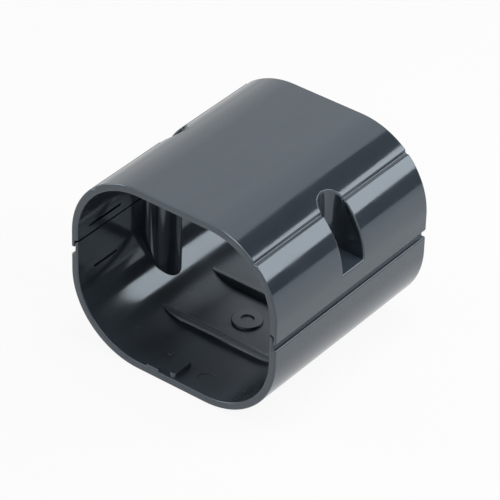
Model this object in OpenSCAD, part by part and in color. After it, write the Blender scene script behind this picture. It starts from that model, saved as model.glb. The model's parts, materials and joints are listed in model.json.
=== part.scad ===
// Two-piece joining sleeve for rounded rectangular duct.
// X runs across the duct, Y along it, Z up. The origin is the middle of the underside.

/* [Sleeve] */
// Outer width across the duct
sleeve_w = 78; // [72:1:100]
// Outer height of the closed sleeve
sleeve_h = 66; // [60:1:80]
// Length along the duct
sleeve_l = 76; // [66:1:120]
// Radius of the four long outer corners
corner_r = 26; // [20:1:27]
// Wall thickness of both mouldings
wall_t = 2.6; // [2.2:0.1:3]

/* [Seam] */
// Height of the base's outer shoulder above the underside
shoulder_z = 31.7; // [29:0.1:32]
// Open height of the reveal line between shoulder and cover
reveal_h = 2.3; // [0.6:0.1:2.6]
// Thickness of the tongue, the inner half of the base wall
tongue_t = 1.3; // [1:0.1:1.5]
// Height of the tongue above the shoulder
tongue_h = 4.8; // [4.2:0.1:5.2]
// Clearance between mating faces of the two mouldings
fit_gap = 0.2; // [0.1:0.05:0.3]

/* [Snap beads] */
// Length of a snap bead along the duct
snap_l = 14; // [8:1:16]
// Distance from the middle of the sleeve to a snap bead's middle
snap_y = 25; // [20:0.5:25]
// Overhang of a bead on the outer face of the tongue
bead_out = 0.5; // [0.3:0.1:0.6]
// Height of a bead, its slanted lead included
bead_h = 0.9; // [0.7:0.1:1.1]

/* [Spring slots] */
// Height of the slots that let the walls spring at a bead
slot_h = 0.8; // [0.4:0.1:1.2]
// Depth of the slots in the inner faces
slot_depth = 1.2; // [0.6:0.1:1.6]
// Length of the cover's slot along the duct
cover_slot_l = 15; // [8:1:18]
// Height of the cover's slot above the top of the tongue
cover_slot_up = 3; // [1.5:0.1:5]
// Length of the base's slot along the duct
base_slot_l = 11; // [6:1:16]
// Depth of the base's slot below the shoulder
base_slot_down = 8.4; // [4:0.1:10]

/* [Screw pockets] */
// Radius of the round back of a pocket, and half its width
pocket_r = 5.2; // [4:0.1:6]
// Distance of the screw axis from the middle plane
screw_x = 31.2; // [28:0.1:32]
// Height of the pocket's shelf above the underside
shelf_z = 41; // [40.5:0.5:46]
// Thickness of the pocket's shelf
shelf_t = 2; // [1.6:0.1:3]
// Thickness of the pocket's inner skin
skin_t = 1.8; // [1.2:0.1:2.4]
// Diameter of the clearance hole in the shelf
screw_d = 4.2; // [3.5:0.1:5]

/* [Screw bosses] */
// Radius of the round front of a boss
boss_r = 5.2; // [4.4:0.1:6]
// Distance of the boss's round front centre from the middle plane
boss_x = 32.8; // [31:0.1:33.5]
// Radius of the flare where a boss leaves the wall
flare_r = 1.5; // [1:0.5:5]
// Diameter of the pilot bore
pilot_d = 2.8; // [2.4:0.1:3.4]
// Depth of the pilot bore
pilot_depth = 16; // [10:1:24]

/* [Corner grooves] */
// Distance of a groove's upright face from the middle plane
groove_x = 29.8; // [27:0.1:32]
// Depth of a groove's ledge below the top panel's edge
groove_drop = 1.2; // [0.6:0.1:1.4]

/* [Floor] */
// Distance of a duct stop's outer face from the middle
stop_y = 13.3; // [12:0.1:15]
// Thickness of a duct stop
stop_t = 1.5; // [0.8:0.1:2]
// Height of a duct stop above the floor
stop_h = 2.4; // [1:0.1:3]
// Diameter of the disc boss in the middle of the floor
disc_d = 10; // [8:0.5:14]
// Height of the disc boss
disc_h = 0.8; // [0.7:0.1:2.5]
// Diameter of the dimple that starts a wall screw
dimple_d = 4.2; // [3:0.1:6]
// Depth of the dimple
dimple_depth = 0.5; // [0.3:0.1:1.5]
// Width of the key rib at each mouth
key_w = 2.4; // [1.6:0.1:4]
// Length of the key rib
key_l = 8; // [5:0.5:12]
// Height of the key rib
key_h = 1.8; // [1:0.1:3]
// Distance of the key rib's nose from the end face
key_inset = 0.6; // [0.2:0.1:3]
// Width of the upstand at the front lip
tab_w = 4.8; // [3:0.1:8]
// Height of the upstand above the floor
tab_h = 0.9; // [0.6:0.1:3]
// Thickness of the upstand along the duct
tab_t = 1.4; // [0.8:0.1:3]
// Distance of the upstand's middle from the middle plane
tab_x = 7.3; // [6:0.1:12]
// Diameter of the shallow round mark that an ejector pin leaves in the floor
pin_d = 6; // [3:0.5:8]
// Depth of the pin mark
pin_depth = 0.2; // [0.1:0.05:0.4]
// Distance of the pin mark from the middle plane
pin_x = 8.5; // [6:0.5:12]
// Distance of the pin mark's middle from the end face
pin_inset = 7; // [4:0.5:10]
// Diameter of the small pip on the floor
pip_d = 2.2; // [1:0.1:3]
// Height of the small pip
pip_h = 0.4; // [0.2:0.1:0.8]
// Distance of the pip from the middle plane
pip_x = 7.8; // [6:0.1:12]
// Distance of the pip from the end face
pip_inset = 10; // [6:0.5:16]

/* [Hidden] */
$fn = 96;
plastic = "slategray";
over = 1;

inner_w = sleeve_w - 2 * wall_t;
inner_h = sleeve_h - 2 * wall_t;
inner_r = corner_r - wall_t;
wall_x = inner_w / 2;

tongue_top = shoulder_z + tongue_h;
tongue_out = wall_x + tongue_t;
tip_slant = tongue_t / 2;
cover_edge = shoulder_z + reveal_h;
tip_gap = 2 * fit_gap + 0.1;

shelf_under = shelf_z - shelf_t;
boss_out = wall_x - fit_gap;

bead_top = tongue_top - tip_slant;
bead_z = bead_top - bead_h;

groove_z = sleeve_h - corner_r - groove_drop
    + sqrt(pow(corner_r, 2) - pow(groove_x - sleeve_w / 2 + corner_r, 2));

// A rounded rectangle standing on its lower edge
module duct_outline(w, h, r) {
    translate([-w / 2 + r, 0]) square([w - 2 * r, h]);
    translate([-w / 2, r]) square([w, h - 2 * r]);
    for (x = [-w / 2 + r, w / 2 - r], z = [r, h - r])
        translate([x, z]) circle(r);
}

module outer_outline() {
    duct_outline(sleeve_w, sleeve_h, corner_r);
}

// The passage, made larger all round by grow
module passage_outline(grow = 0) {
    translate([0, wall_t - grow])
        duct_outline(inner_w + 2 * grow, inner_h + 2 * grow, inner_r + grow);
}

// Turns an outline drawn in X and Z into a bar of length l, centred at y
module along_duct(l, y = 0) {
    translate([0, y, 0]) rotate([90, 0, 0])
        linear_extrude(l, center = true) children();
}

// Repeats a shape drawn on the +X side on both sides
module both_sides() {
    children();
    mirror([1, 0]) children();
}

module tube_outline() {
    difference() {
        outer_outline();
        passage_outline();
    }
}

// Base wall with the stepped tongue of the seam
module base_outline() {
    difference() {
        tube_outline();
        translate([-sleeve_w, shoulder_z]) square([2 * sleeve_w, sleeve_h]);
    }
    both_sides() polygon([
        [wall_x, shoulder_z - over],
        [tongue_out, shoulder_z - over],
        [tongue_out, tongue_top - tip_slant],
        [wall_x, tongue_top]
    ]);
}

// Cover wall with the lip that hangs over the tongue
module cover_outline() {
    lip_in = tongue_out + fit_gap;
    difference() {
        tube_outline();
        translate([-sleeve_w, -over]) square([2 * sleeve_w, cover_edge + over]);
        both_sides() polygon([
            [wall_x - over, 0],
            [lip_in, 0],
            [lip_in, tongue_top - tip_slant + tip_gap],
            [wall_x, tongue_top + tip_gap],
            [wall_x - over, tongue_top + tip_gap]
        ]);
        both_sides() translate([groove_x, groove_z]) square(corner_r);
    }
}

// Plan of a half-round column against the side wall, with a flare of radius flare
module column_plan(x, r, flare, out) {
    translate([x, 0]) circle(r);
    translate([x, -r]) square([out - x, 2 * r]);
    if (flare > 0) difference() {
        translate([wall_x - flare, -r - flare]) square([out - wall_x + flare, 2 * (r + flare)]);
        for (y = [-r - flare, r + flare])
            translate([wall_x - flare, y]) circle(flare);
    }
}

// Half-round boss that rises from the rounded corner to the cover's shelf
module screw_boss() {
    difference() {
        union() {
            intersection() {
                linear_extrude(tongue_top - tongue_t)
                    column_plan(boss_x, boss_r, flare_r, wall_x + tongue_t / 2);
                along_duct(sleeve_l) passage_outline(wall_t / 2);
            }
            translate([0, 0, shoulder_z]) linear_extrude(shelf_under - shoulder_z)
                intersection() {
                    column_plan(boss_x, boss_r, flare_r, boss_out);
                    translate([0, -sleeve_l / 2]) square([boss_out, sleeve_l]);
                }
        }
        translate([screw_x, 0, shelf_under - pilot_depth])
            cylinder(d = pilot_d, h = pilot_depth + over);
    }
}

// Bead on the outer face of the tongue, which the cover's lip snaps over
module snap_bead() {
    root = wall_x + tongue_t / 2;
    along_duct(snap_l) polygon([
        [root, bead_z],
        [tongue_out + bead_out, bead_z],
        [tongue_out + bead_out, bead_top - bead_out],
        [tongue_out, bead_top],
        [root, bead_top]
    ]);
}

// Groove inside the cover's lip that takes a bead
module bead_groove() {
    far = tongue_out + bead_out + fit_gap;
    along_duct(snap_l + 2 * fit_gap) polygon([
        [tongue_out, bead_z - fit_gap / 2],
        [far, bead_z - fit_gap / 2],
        [far, bead_top - bead_out + fit_gap],
        [tongue_out, bead_top + fit_gap]
    ]);
}

// Slot of length l in the inner face of the side wall, its lower edge at z
module spring_slot(l, z) {
    translate([wall_x - over, -l / 2, z]) cube([over + slot_depth, l, slot_h]);
}

// Transverse rib that the end of a duct butts against
module duct_stop() {
    along_duct(stop_t) intersection() {
        passage_outline(wall_t / 2);
        translate([-sleeve_w / 2, 0]) square([sleeve_w, wall_t + stop_h]);
    }
}

// Raised disc with the dimple that starts a wall screw
module floor_disc() {
    difference() {
        translate([0, 0, wall_t / 2]) cylinder(d = disc_d, h = wall_t / 2 + disc_h);
        translate([0, 0, wall_t + disc_h - dimple_depth])
            cylinder(d = dimple_d, h = dimple_depth + over);
    }
}

// Short rib with a round nose in the middle of a mouth
module key_rib() {
    nose_y = -sleeve_l / 2 + key_inset + key_w / 2;
    translate([0, nose_y, wall_t / 2]) {
        cylinder(d = key_w, h = wall_t / 2 + key_h);
        translate([-key_w / 2, 0, 0])
            cube([key_w, key_l - key_w / 2, wall_t / 2 + key_h]);
    }
}

// Low upstand flush with the end face, beside the key rib
module lip_tab() {
    translate([-tab_x - tab_w / 2, -sleeve_l / 2, wall_t / 2])
        cube([tab_w, tab_t, wall_t / 2 + tab_h]);
}

module floor_pip() {
    translate([-pip_x, -sleeve_l / 2 + pip_inset, wall_t / 2])
        cylinder(d = pip_d, h = wall_t / 2 + pip_h);
}

// Shallow round mark that an ejector pin leaves
module pin_mark() {
    translate([pin_x, -sleeve_l / 2 + pin_inset, wall_t - pin_depth])
        cylinder(d = pin_d, h = pin_depth + over);
}

module base() {
    color(plastic) difference() {
        union() {
            along_duct(sleeve_l) base_outline();
            for (turn = [0, 180]) rotate([0, 0, turn]) {
                screw_boss();
                for (y = [-snap_y, snap_y]) translate([0, y, 0]) snap_bead();
                translate([0, -stop_y + stop_t / 2, 0]) duct_stop();
                key_rib();
                lip_tab();
                floor_pip();
            }
            floor_disc();
        }
        for (turn = [0, 180]) rotate([0, 0, turn]) {
            pin_mark();
            for (y = [-snap_y, snap_y]) translate([0, y, 0])
                spring_slot(base_slot_l, shoulder_z - base_slot_down);
        }
    }
}

// Round-backed pocket: the skin that hangs inside the cover
module pocket_skin() {
    intersection() {
        translate([0, 0, shelf_under]) linear_extrude(sleeve_h - shelf_under)
            column_plan(screw_x, pocket_r + skin_t, 0, wall_x + wall_t / 2);
        along_duct(sleeve_l) passage_outline(wall_t / 2);
    }
}

// The space cut out of the pocket, open at the side and the top
module pocket_space() {
    translate([0, 0, shelf_z]) linear_extrude(sleeve_h)
        column_plan(screw_x, pocket_r, 0, sleeve_w);
    translate([screw_x, 0, shelf_under - over]) cylinder(d = screw_d, h = shelf_t + 2 * over);
}

module cover() {
    color(plastic) difference() {
        union() {
            along_duct(sleeve_l) cover_outline();
            for (turn = [0, 180]) rotate([0, 0, turn]) pocket_skin();
        }
        for (turn = [0, 180]) rotate([0, 0, turn]) {
            pocket_space();
            for (y = [-snap_y, snap_y]) translate([0, y, 0]) {
                bead_groove();
                spring_slot(cover_slot_l, tongue_top + cover_slot_up);
            }
        }
    }
}

base();
cover();
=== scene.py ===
import json
import math

import bmesh
import bpy
from bpy.props import FloatProperty, FloatVectorProperty, PointerProperty
from mathutils import Matrix, Quaternion, Vector

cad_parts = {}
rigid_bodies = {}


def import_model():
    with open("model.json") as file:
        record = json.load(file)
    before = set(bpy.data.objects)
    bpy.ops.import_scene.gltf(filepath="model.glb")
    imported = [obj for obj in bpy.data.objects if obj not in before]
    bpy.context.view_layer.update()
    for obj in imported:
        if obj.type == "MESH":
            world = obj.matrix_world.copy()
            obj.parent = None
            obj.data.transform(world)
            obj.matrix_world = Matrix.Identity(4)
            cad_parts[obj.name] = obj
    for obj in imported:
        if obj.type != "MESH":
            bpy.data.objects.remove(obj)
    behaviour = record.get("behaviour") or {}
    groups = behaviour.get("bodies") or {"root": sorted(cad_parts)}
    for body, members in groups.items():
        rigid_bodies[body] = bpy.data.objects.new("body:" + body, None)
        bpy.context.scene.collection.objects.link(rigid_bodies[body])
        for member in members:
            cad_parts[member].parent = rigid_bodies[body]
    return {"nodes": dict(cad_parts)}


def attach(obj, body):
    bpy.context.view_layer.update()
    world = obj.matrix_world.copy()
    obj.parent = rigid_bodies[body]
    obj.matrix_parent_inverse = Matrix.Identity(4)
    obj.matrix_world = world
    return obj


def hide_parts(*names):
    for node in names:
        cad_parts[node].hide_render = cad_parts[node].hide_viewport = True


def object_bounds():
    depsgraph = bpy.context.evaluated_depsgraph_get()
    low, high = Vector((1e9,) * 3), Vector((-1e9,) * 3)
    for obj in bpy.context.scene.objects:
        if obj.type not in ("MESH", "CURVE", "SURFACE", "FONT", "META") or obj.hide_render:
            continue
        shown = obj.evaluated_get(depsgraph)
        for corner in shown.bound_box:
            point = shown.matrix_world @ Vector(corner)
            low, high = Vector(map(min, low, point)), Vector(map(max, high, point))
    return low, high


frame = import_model()

bl_info = {
    "name": "Duct joining sleeve",
    "version": (1, 0, 0),
    "blender": (4, 5, 0),
    "location": "3D View > Sidebar > Sleeve",
    "description": "Dresses the two mouldings of a duct joining sleeve and sets them on a studio table",
    "category": "Object",
}

MM = 0.001
CAD_LOW, CAD_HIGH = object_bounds()
CORNER_R = 26 * MM
WALL_T = 2.6 * MM
CHORD_GAP = 0.12 * MM
MAX_ROOM = 10 * MM
FLOOR_ZONE = 8 * MM
FLOOR_ROUND = 0.2 * MM
GROOVE_LEVEL = 0.8
ROUNDED_SLOT = 1
AIM = Vector((0.0, 0.0, 0.033))

# Centre across, centre along and radius of the boss, the pocket's skin, the pocket and the boss's flare
UPRIGHT_ROUNDS = (
    (32.8 * MM, 0.0, 5.2 * MM),
    (31.2 * MM, 0.0, 7.0 * MM),
    (31.2 * MM, 0.0, 5.2 * MM),
    (34.9 * MM, 6.7 * MM, 1.5 * MM),
)

# Name, azimuth, elevation, width, height and power of each soft lamp
SOFT_LAMPS = (
    ("Overhead light", 60.0, 82.0, 0.6, 0.6, 6.6),
    ("Right fill", 105.0, 50.0, 0.6, 0.6, 2.0),
    ("Front fill", -140.0, 48.0, 0.5, 0.4, 0.8),
    ("Left fill", -110.0, 25.0, 0.6, 0.5, 3.0),
)


class SleeveFinish(bpy.types.PropertyGroup):
    """Finish of the moulded plastic"""
    pigment: FloatVectorProperty(
        name="Pigment", description="Body colour of the plastic",
        subtype="COLOR", size=3, min=0.0, max=1.0, default=(0.042, 0.053, 0.067))
    pigment_pale: FloatVectorProperty(
        name="Pale pigment", description="Colour where the pigment lies thin along the flow lines",
        subtype="COLOR", size=3, min=0.0, max=1.0, default=(0.048, 0.060, 0.075))
    gloss_tint: FloatVectorProperty(
        name="Gloss tint", description="Tint of the reflection seen straight on",
        subtype="COLOR", size=3, min=0.0, max=1.0, default=(0.78, 0.90, 1.0))
    polish: FloatProperty(
        name="Polish", description="Roughness of the best polished areas",
        min=0.02, max=0.6, default=0.09)
    haze: FloatProperty(
        name="Haze", description="Roughness of the haziest areas",
        min=0.02, max=0.8, default=0.17)
    floor_satin: FloatProperty(
        name="Floor satin", description="Roughness that the floor has more than the walls",
        min=0.0, max=0.6, default=0.25)
    edge_round: FloatProperty(
        name="Edge rounding", description="Width of the rounding on the long moulded edges",
        subtype="DISTANCE", unit="LENGTH", min=0.00005, max=0.0008, default=0.00058)
    fine_round: FloatProperty(
        name="Fine rounding", description="Width of the rounding on small ribs and catches",
        subtype="DISTANCE", unit="LENGTH", min=0.00002, max=0.0003, default=0.00010)


class StudioSetting(bpy.types.PropertyGroup):
    """Table, lights and camera"""
    table_colour: FloatVectorProperty(
        name="Table colour", description="Colour of the table top",
        subtype="COLOR", size=3, min=0.0, max=1.0, default=(0.86, 0.86, 0.86))
    sky_level: FloatProperty(
        name="Room light", description="Strength of the even light from the room",
        min=0.0, max=3.0, default=0.02)
    strip_level: FloatProperty(
        name="Strip light", description="Power of the strip light at the right rear",
        subtype="POWER", unit="POWER", min=0.0, max=100.0, default=0.48)
    lens: FloatProperty(
        name="Lens", description="Focal length of the camera",
        subtype="DISTANCE_CAMERA", unit="CAMERA", min=35.0, max=400.0, default=235.332)


def deselect_all():
    bpy.ops.object.select_all(action="DESELECT")


def make_active(piece):
    deselect_all()
    piece.select_set(True)
    bpy.context.view_layer.objects.active = piece


def group_socket(group, name, in_out, kind, default=None):
    socket = group.interface.new_socket(name=name, in_out=in_out, socket_type=kind)
    if default is not None:
        socket.default_value = default


def moulded_surface_group():
    """Colour, roughness and height of a polished moulding: flow lines, haze and orange peel."""
    name = "Moulded surface"
    if name in bpy.data.node_groups:
        return bpy.data.node_groups[name]
    group = bpy.data.node_groups.new(name, "ShaderNodeTree")
    group_socket(group, "Vector", "INPUT", "NodeSocketVector")
    group_socket(group, "Pigment", "INPUT", "NodeSocketColor")
    group_socket(group, "Pale Pigment", "INPUT", "NodeSocketColor")
    group_socket(group, "Polish", "INPUT", "NodeSocketFloat", 0.1)
    group_socket(group, "Haze", "INPUT", "NodeSocketFloat", 0.2)
    group_socket(group, "Floor Satin", "INPUT", "NodeSocketFloat", 0.2)
    group_socket(group, "Color", "OUTPUT", "NodeSocketColor")
    group_socket(group, "Roughness", "OUTPUT", "NodeSocketFloat")
    group_socket(group, "Height", "OUTPUT", "NodeSocketFloat")
    nodes, links = group.nodes, group.links
    entry = nodes.new("NodeGroupInput")
    leave = nodes.new("NodeGroupOutput")

    flow_map = nodes.new("ShaderNodeMapping")
    flow_map.inputs["Scale"].default_value = (1.0, 0.22, 1.0)
    flow = nodes.new("ShaderNodeTexNoise")
    flow.inputs["Scale"].default_value = 160.0
    flow.inputs["Detail"].default_value = 3.0
    flow_range = nodes.new("ShaderNodeMapRange")
    flow_range.inputs["From Min"].default_value = 0.35
    flow_range.inputs["From Max"].default_value = 0.7
    pigment = nodes.new("ShaderNodeMix")
    pigment.data_type = "RGBA"
    links.new(entry.outputs["Vector"], flow_map.inputs["Vector"])
    links.new(flow_map.outputs["Vector"], flow.inputs["Vector"])
    links.new(flow.outputs["Fac"], flow_range.inputs["Value"])
    links.new(flow_range.outputs["Result"], pigment.inputs["Factor"])
    links.new(entry.outputs["Pigment"], pigment.inputs["A"])
    links.new(entry.outputs["Pale Pigment"], pigment.inputs["B"])
    links.new(pigment.outputs["Result"], leave.inputs["Color"])

    haze = nodes.new("ShaderNodeTexNoise")
    haze.inputs["Scale"].default_value = 55.0
    haze.inputs["Detail"].default_value = 5.0
    haze_range = nodes.new("ShaderNodeMapRange")
    haze_range.inputs["From Min"].default_value = 0.4
    haze_range.inputs["From Max"].default_value = 0.75
    links.new(entry.outputs["Vector"], haze.inputs["Vector"])
    links.new(haze.outputs["Fac"], haze_range.inputs["Value"])
    links.new(entry.outputs["Polish"], haze_range.inputs["To Min"])
    links.new(entry.outputs["Haze"], haze_range.inputs["To Max"])

    height = nodes.new("ShaderNodeSeparateXYZ")
    satin = nodes.new("ShaderNodeMapRange")
    satin.inputs["From Min"].default_value = 2.5 * MM
    satin.inputs["From Max"].default_value = FLOOR_ZONE
    satin.inputs["To Max"].default_value = 0.0
    rough = nodes.new("ShaderNodeMath")
    rough.operation = "ADD"
    links.new(entry.outputs["Vector"], height.inputs["Vector"])
    links.new(height.outputs["Z"], satin.inputs["Value"])
    links.new(entry.outputs["Floor Satin"], satin.inputs["To Min"])
    links.new(haze_range.outputs["Result"], rough.inputs[0])
    links.new(satin.outputs["Result"], rough.inputs[1])
    links.new(rough.outputs["Value"], leave.inputs["Roughness"])

    peel = nodes.new("ShaderNodeTexNoise")
    peel.inputs["Scale"].default_value = 1400.0
    peel.inputs["Detail"].default_value = 2.0
    swell = nodes.new("ShaderNodeTexNoise")
    swell.inputs["Scale"].default_value = 90.0
    swell.inputs["Detail"].default_value = 1.0
    swell_share = nodes.new("ShaderNodeMath")
    swell_share.operation = "MULTIPLY_ADD"
    swell_share.inputs[1].default_value = 5.0
    links.new(entry.outputs["Vector"], peel.inputs["Vector"])
    links.new(flow_map.outputs["Vector"], swell.inputs["Vector"])
    links.new(swell.outputs["Fac"], swell_share.inputs[0])
    links.new(peel.outputs["Fac"], swell_share.inputs[2])
    links.new(swell_share.outputs["Value"], leave.inputs["Height"])
    return group


def gloss_plastic(name, finish):
    """Polished pigmented plastic for one moulding."""
    material = bpy.data.materials.new(name)
    material.use_nodes = True
    nodes, links = material.node_tree.nodes, material.node_tree.links
    shader = nodes["Principled BSDF"]
    shader.inputs["IOR"].default_value = 1.78
    shader.inputs["Specular Tint"].default_value = (*finish.gloss_tint, 1.0)
    place = nodes.new("ShaderNodeTexCoord")
    surface = nodes.new("ShaderNodeGroup")
    surface.node_tree = moulded_surface_group()
    surface.inputs["Pigment"].default_value = (*finish.pigment, 1.0)
    surface.inputs["Pale Pigment"].default_value = (*finish.pigment_pale, 1.0)
    surface.inputs["Polish"].default_value = finish.polish
    surface.inputs["Haze"].default_value = finish.haze
    surface.inputs["Floor Satin"].default_value = finish.floor_satin
    bump = nodes.new("ShaderNodeBump")
    bump.inputs["Strength"].default_value = 0.5
    bump.inputs["Distance"].default_value = 0.000004
    links.new(place.outputs["Object"], surface.inputs["Vector"])
    links.new(surface.outputs["Color"], shader.inputs["Base Color"])
    links.new(surface.outputs["Roughness"], shader.inputs["Roughness"])
    links.new(surface.outputs["Height"], bump.inputs["Height"])
    links.new(bump.outputs["Normal"], shader.inputs["Normal"])
    return material


def moulding_copy(node_name, piece_name):
    """A welded copy of a CAD moulding, with its flat areas cleared of needless edges."""
    make_active(frame["nodes"][node_name])
    bpy.ops.object.duplicate()
    piece = bpy.context.view_layer.objects.active
    bpy.ops.object.parent_clear(type="CLEAR_KEEP_TRANSFORM")
    piece.name = piece_name
    piece.data.name = piece_name
    bpy.ops.object.mode_set(mode="EDIT")
    bpy.ops.mesh.select_all(action="SELECT")
    bpy.ops.mesh.remove_doubles(threshold=0.01 * MM)
    bpy.ops.mesh.dissolve_limited(angle_limit=math.radians(0.3))
    bpy.ops.object.mode_set(mode="OBJECT")
    return piece


def spare_length(edge):
    """Shortest edge that leaves either end of this one at an angle; edges that run on are left out."""
    running_on = math.cos(math.radians(30))
    lengths = [MAX_ROOM]
    for vert in edge.verts:
        way = (vert.co - edge.other_vert(vert).co).normalized()
        for other in vert.link_edges:
            if other is edge:
                continue
            span = other.other_vert(vert).co - vert.co
            if span.normalized().dot(way) < running_on:
                lengths.append(span.length)
    return min(lengths)


def in_mouth_face(edge):
    """True for the edges of a mouth's flat end face."""
    start, end = edge.verts[0].co, edge.verts[1].co
    return abs(start.y + end.y) > 2 * CAD_HIGH[1] - MM


def on_floor(edge):
    """True for the edges of the small features on the inner floor."""
    return all(vert.co.z < FLOOR_ZONE and abs(vert.co.y) < CAD_HIGH[1] - MM / 2 for vert in edge.verts)


def on_side_wall(edge):
    """True for the edges of the seam and the spring slots on the inner side walls."""
    wall_x = CAD_HIGH[0] - WALL_T
    return not in_mouth_face(edge) and all(abs(abs(vert.co.x) - wall_x) < 0.3 * MM for vert in edge.verts)


def in_corner_groove(edge):
    """True for the long edge at the foot of a corner groove on the cover."""
    start, end = edge.verts[0].co, edge.verts[1].co
    along = abs(start.y - end.y) > 10 * MM
    return along and min(start.z, end.z) > CAD_HIGH[2] * GROOVE_LEVEL


def round_edges(piece, wide, fine):
    """Rounds the moulded edges: wide on the long ones, fine on small ribs and catches."""
    sharp_angle = math.radians(28)
    mesh = piece.data
    work = bmesh.new()
    work.from_mesh(mesh)
    weights = work.edges.layers.float.new("bevel_weight_edge")
    for edge in work.edges:
        if not edge.is_manifold or edge.calc_face_angle() < sharp_angle:
            continue
        if not edge.is_convex and not in_corner_groove(edge):
            continue
        room = spare_length(edge)
        most = FLOOR_ROUND if on_floor(edge) else wide
        if on_side_wall(edge):
            most = fine
        if in_corner_groove(edge) and not edge.is_convex:
            edge[weights] = 1.0
        elif room > 1.6 * fine:
            edge[weights] = min(most, max(fine, room / 2.2)) / wide
    work.to_mesh(mesh)
    work.free()
    mesh.materials.clear()
    for _ in range(ROUNDED_SLOT + 1):
        mesh.materials.append(None)
    make_active(piece)
    rounding = piece.modifiers.new("Rounding", "BEVEL")
    rounding.limit_method = "WEIGHT"
    rounding.width = wide
    rounding.segments = 3
    rounding.use_clamp_overlap = False
    rounding.miter_outer = "MITER_ARC"
    rounding.material = ROUNDED_SLOT
    bpy.ops.object.modifier_apply(modifier=rounding.name)
    for vert in piece.data.vertices:
        vert.co.x = min(max(vert.co.x, CAD_LOW[0]), CAD_HIGH[0])
    bpy.ops.object.shade_smooth_by_angle(angle=math.radians(40))
    settle = piece.modifiers.new("Settle", "WEIGHTED_NORMAL")
    settle.keep_sharp = True
    settle.weight = 80
    bpy.ops.object.modifier_apply(modifier=settle.name)


def outline_way(point, inset):
    """Direction away from the duct outline moved in by inset, and the distance from it."""
    half = CAD_HIGH[0] - inset
    radius = CORNER_R - inset
    core_x = half - radius
    low_z = CAD_LOW[2] + CORNER_R
    high_z = CAD_HIGH[2] - CORNER_R
    core = Vector((min(max(point.x, -core_x), core_x), point.y, min(max(point.z, low_z), high_z)))
    away = point - core
    if away.length < radius / 2:
        return None, radius
    return away.normalized(), abs(away.length - radius)


def upright_way(point, centre_x, centre_y, radius):
    """Direction away from an upright round on either side wall, and the distance from it."""
    side_x = math.copysign(centre_x, point.x)
    side_y = math.copysign(centre_y, point.y)
    away = Vector((point.x - side_x, point.y - side_y, 0.0))
    if away.length < radius / 2:
        return None, radius
    return away.normalized(), abs(away.length - radius)


def true_normals(piece):
    """Sets the exact normals of the duct outline and the upright rounds, so that they mirror cleanly."""
    mesh = piece.data
    near = math.cos(math.radians(25))
    normals = [Vector(corner.vector) for corner in mesh.corner_normals]
    moulded = set()
    for face in mesh.polygons:
        if face.material_index != ROUNDED_SLOT:
            moulded.update(face.vertices)
    for face in mesh.polygons:
        for loop in face.loop_indices:
            corner = mesh.loops[loop].vertex_index
            if corner not in moulded:
                continue
            point = mesh.vertices[corner].co
            ways = [upright_way(point, *upright) for upright in UPRIGHT_ROUNDS]
            ways += [outline_way(point, inset) for inset in (0.0, WALL_T)]
            for way, gap in ways:
                if way is None or gap > CHORD_GAP or abs(face.normal.dot(way)) < near:
                    continue
                normals[loop] = math.copysign(1.0, face.normal.dot(way)) * way
    mesh.normals_split_custom_set(normals)


def dress_moulding(node_name, piece_name):
    finish = bpy.context.scene.sleeve_finish
    piece = moulding_copy(node_name, piece_name)
    round_edges(piece, finish.edge_round, finish.fine_round)
    true_normals(piece)
    piece.data.materials.clear()
    piece.data.materials.append(gloss_plastic(piece_name + "_finish", finish))
    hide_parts(node_name)
    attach(piece, "root")
    return piece


class OBJECT_OT_sleeve_base(bpy.types.Operator):
    """Dress the lower moulding with its stops, bosses, ribs and snap beads"""
    bl_idname = "object.sleeve_base"
    bl_label = "Lower moulding"

    def execute(self, context):
        dress_moulding("base", "base_moulding")
        return {"FINISHED"}


class OBJECT_OT_sleeve_cover(bpy.types.Operator):
    """Dress the upper moulding with its screw pockets and corner grooves"""
    bl_idname = "object.sleeve_cover"
    bl_label = "Upper moulding"

    def execute(self, context):
        dress_moulding("cover", "cover_moulding")
        return {"FINISHED"}


def heading(azimuth, elevation):
    """Unit vector: azimuth in degrees from +Y towards +X, elevation above the table."""
    a, e = math.radians(azimuth), math.radians(elevation)
    return Vector((math.sin(a) * math.cos(e), math.cos(a) * math.cos(e), math.sin(e)))


def screen_place(azimuth, elevation, distance, across=0.0, rise=0.0, lean=0.0):
    """Place and turn on a screen square to a heading: moved right, moved up, leant anticlockwise."""
    away = heading(azimuth, elevation)
    right = Vector((math.cos(math.radians(azimuth)), -math.sin(math.radians(azimuth)), 0.0))
    up = right.cross(away)
    place = AIM + away * distance + right * across + up * rise
    turn = away.to_track_quat("Z", "Y") @ Quaternion((0.0, 0.0, 1.0), -math.radians(lean))
    return place, turn.to_euler()


def add_area_lamp(name, seat, width, height, power):
    place, turn = seat
    bpy.ops.object.light_add(type="AREA", location=place, rotation=turn)
    lamp = bpy.context.view_layer.objects.active
    lamp.name = name
    lamp.data.shape = "RECTANGLE"
    lamp.data.size = width
    lamp.data.size_y = height
    lamp.data.energy = power


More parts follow.
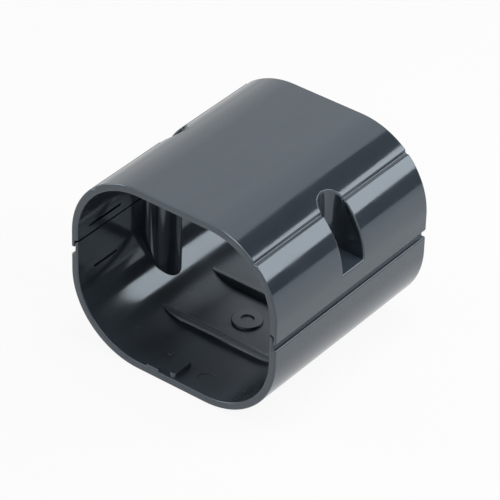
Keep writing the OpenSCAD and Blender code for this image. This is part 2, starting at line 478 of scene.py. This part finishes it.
def plain_stage_material(name, colour, shown_white, gloss_white):
    """Matt stage colour, with the share of plain white that the camera sees and that gloss and glass see."""
    material = bpy.data.materials.new(name)
    material.use_nodes = True
    nodes, links = material.node_tree.nodes, material.node_tree.links
    nodes.clear()
    matt = nodes.new("ShaderNodeBsdfDiffuse")
    matt.inputs["Color"].default_value = (*colour, 1.0)
    end = nodes.new("ShaderNodeOutputMaterial")
    if shown_white <= 0:
        links.new(matt.outputs["BSDF"], end.inputs["Surface"])
        return material
    white = nodes.new("ShaderNodeEmission")
    white.inputs["Strength"].default_value = 1.0
    paths = nodes.new("ShaderNodeLightPath")
    gloss = nodes.new("ShaderNodeMath")
    gloss.operation = "MAXIMUM"
    gloss_share = nodes.new("ShaderNodeMath")
    gloss_share.operation = "MULTIPLY"
    gloss_share.inputs[1].default_value = gloss_white
    share = nodes.new("ShaderNodeMath")
    share.operation = "MULTIPLY_ADD"
    share.inputs[1].default_value = shown_white
    blend = nodes.new("ShaderNodeMixShader")
    links.new(paths.outputs["Is Glossy Ray"], gloss.inputs[0])
    links.new(paths.outputs["Is Transmission Ray"], gloss.inputs[1])
    links.new(gloss.outputs["Value"], gloss_share.inputs[0])
    links.new(paths.outputs["Is Camera Ray"], share.inputs[0])
    links.new(gloss_share.outputs["Value"], share.inputs[2])
    links.new(share.outputs["Value"], blend.inputs["Fac"])
    links.new(matt.outputs["BSDF"], blend.inputs[1])
    links.new(white.outputs["Emission"], blend.inputs[2])
    links.new(blend.outputs["Shader"], end.inputs["Surface"])
    return material


def room_light(level):
    """White for the camera and for gloss, and an even room light for everything else."""
    world = bpy.data.worlds.new("Studio room")
    bpy.context.scene.world = world
    world.use_nodes = True
    nodes, links = world.node_tree.nodes, world.node_tree.links
    nodes.clear()
    paths = nodes.new("ShaderNodeLightPath")
    either = nodes.new("ShaderNodeMath")
    either.operation = "MAXIMUM"
    seen = nodes.new("ShaderNodeMath")
    seen.operation = "MAXIMUM"
    strength = nodes.new("ShaderNodeMapRange")
    strength.inputs["To Min"].default_value = level
    strength.inputs["To Max"].default_value = 1.0
    background = nodes.new("ShaderNodeBackground")
    background.inputs["Color"].default_value = (1.0, 1.0, 1.0, 1.0)
    end = nodes.new("ShaderNodeOutputWorld")
    links.new(paths.outputs["Is Camera Ray"], either.inputs[0])
    links.new(paths.outputs["Is Glossy Ray"], either.inputs[1])
    links.new(either.outputs["Value"], seen.inputs[0])
    links.new(paths.outputs["Is Transmission Ray"], seen.inputs[1])
    links.new(seen.outputs["Value"], strength.inputs["Value"])
    links.new(strength.outputs["Result"], background.inputs["Strength"])
    links.new(background.outputs["Background"], end.inputs["Surface"])


def add_stage_panel(name, seat, width, height, material):
    place, turn = seat
    bpy.ops.mesh.primitive_plane_add(size=1.0, location=place, rotation=turn)
    panel = bpy.context.view_layer.objects.active
    panel.name = name
    panel.scale = (width, height, 1.0)
    panel.data.materials.append(material)
    return panel


def add_camera(lens):
    """Camera at the photograph's angle, from a fit to the sleeve's outlines."""
    azimuth, elevation, roll = math.radians(36.766), math.radians(35.56), math.radians(1.712)
    target = Vector((-11.058 * MM, 15.106 * MM, 16.188 * MM))
    distance = 1021.4 * MM
    back = Vector((
        math.sin(azimuth) * math.cos(elevation),
        -math.cos(azimuth) * math.cos(elevation),
        math.sin(elevation)))
    level = Vector((math.cos(azimuth), math.sin(azimuth), 0.0))
    rise = back.cross(level)
    right = math.cos(roll) * level + math.sin(roll) * rise
    up = -math.sin(roll) * level + math.cos(roll) * rise
    bpy.ops.object.camera_add(location=target + back * distance)
    camera = bpy.context.view_layer.objects.active
    camera.name = "Photo camera"
    turn = bpy_matrix(right, up, back)
    camera.rotation_euler = turn.to_euler()
    camera.data.sensor_width = 36.0
    camera.data.lens = lens
    camera.data.clip_start = 0.05
    camera.data.clip_end = 20.0
    bpy.context.scene.camera = camera


def bpy_matrix(right, up, back):
    """Rotation whose columns are the camera's own axes."""
    return Matrix((right, up, back)).transposed()


class OBJECT_OT_sleeve_stage(bpy.types.Operator):
    """Set up the table, the lights and the camera"""
    bl_idname = "object.sleeve_stage"
    bl_label = "Table, lights and camera"

    def execute(self, context):
        studio = context.scene.sleeve_studio
        deselect_all()
        table = plain_stage_material("Table top", studio.table_colour, 0.92, 0.8)
        add_stage_panel("Table", ((0.0, 0.0, -0.05 * MM), (0.0, 0.0, 0.0)), 6.0, 6.0, table)
        black = plain_stage_material("Flag cloth", (0.02, 0.02, 0.02), 0.0, 0.0)
        add_stage_panel("Flag", screen_place(41.0, 26.0, 1.3), 1.3, 1.44, black)
        add_stage_panel("Cutter", screen_place(43.0, 25.0, 0.345, -0.043, 0.15, 23.0), 0.34, 0.12, black)
        strip_seat = screen_place(43.0, 25.0, 0.35, 0.01, 0.037)
        add_area_lamp("Strip light", strip_seat, 0.22, 0.176, studio.strip_level)
        for name, azimuth, elevation, width, height, power in SOFT_LAMPS:
            add_area_lamp(name, screen_place(azimuth, elevation, 1.2), width, height, power)
        room_light(studio.sky_level)
        add_camera(studio.lens)
        context.scene.view_settings.view_transform = "Standard"
        return {"FINISHED"}


class VIEW3D_PT_sleeve(bpy.types.Panel):
    """Duct joining sleeve"""
    bl_idname = "VIEW3D_PT_sleeve"
    bl_label = "Duct joining sleeve"
    bl_space_type = "VIEW_3D"
    bl_region_type = "UI"
    bl_category = "Sleeve"

    def draw(self, context):
        layout = self.layout
        finish = context.scene.sleeve_finish
        studio = context.scene.sleeve_studio
        for name in ("pigment", "pigment_pale", "gloss_tint", "polish", "haze", "floor_satin",
                     "edge_round", "fine_round"):
            layout.prop(finish, name)
        layout.operator("object.sleeve_base")
        layout.operator("object.sleeve_cover")
        for name in ("table_colour", "sky_level", "strip_level", "lens"):
            layout.prop(studio, name)
        layout.operator("object.sleeve_stage")


CLASSES = (
    SleeveFinish,
    StudioSetting,
    OBJECT_OT_sleeve_base,
    OBJECT_OT_sleeve_cover,
    OBJECT_OT_sleeve_stage,
    VIEW3D_PT_sleeve,
)


def register():
    for cls in CLASSES:
        bpy.utils.register_class(cls)
    bpy.types.Scene.sleeve_finish = PointerProperty(type=SleeveFinish)
    bpy.types.Scene.sleeve_studio = PointerProperty(type=StudioSetting)


def unregister():
    del bpy.types.Scene.sleeve_studio
    del bpy.types.Scene.sleeve_finish
    for cls in reversed(CLASSES):
        bpy.utils.unregister_class(cls)


def main():
    register()
    bpy.ops.object.sleeve_base()
    bpy.ops.object.sleeve_cover()
    bpy.ops.object.sleeve_stage()


if __name__ == "__main__":
    main()
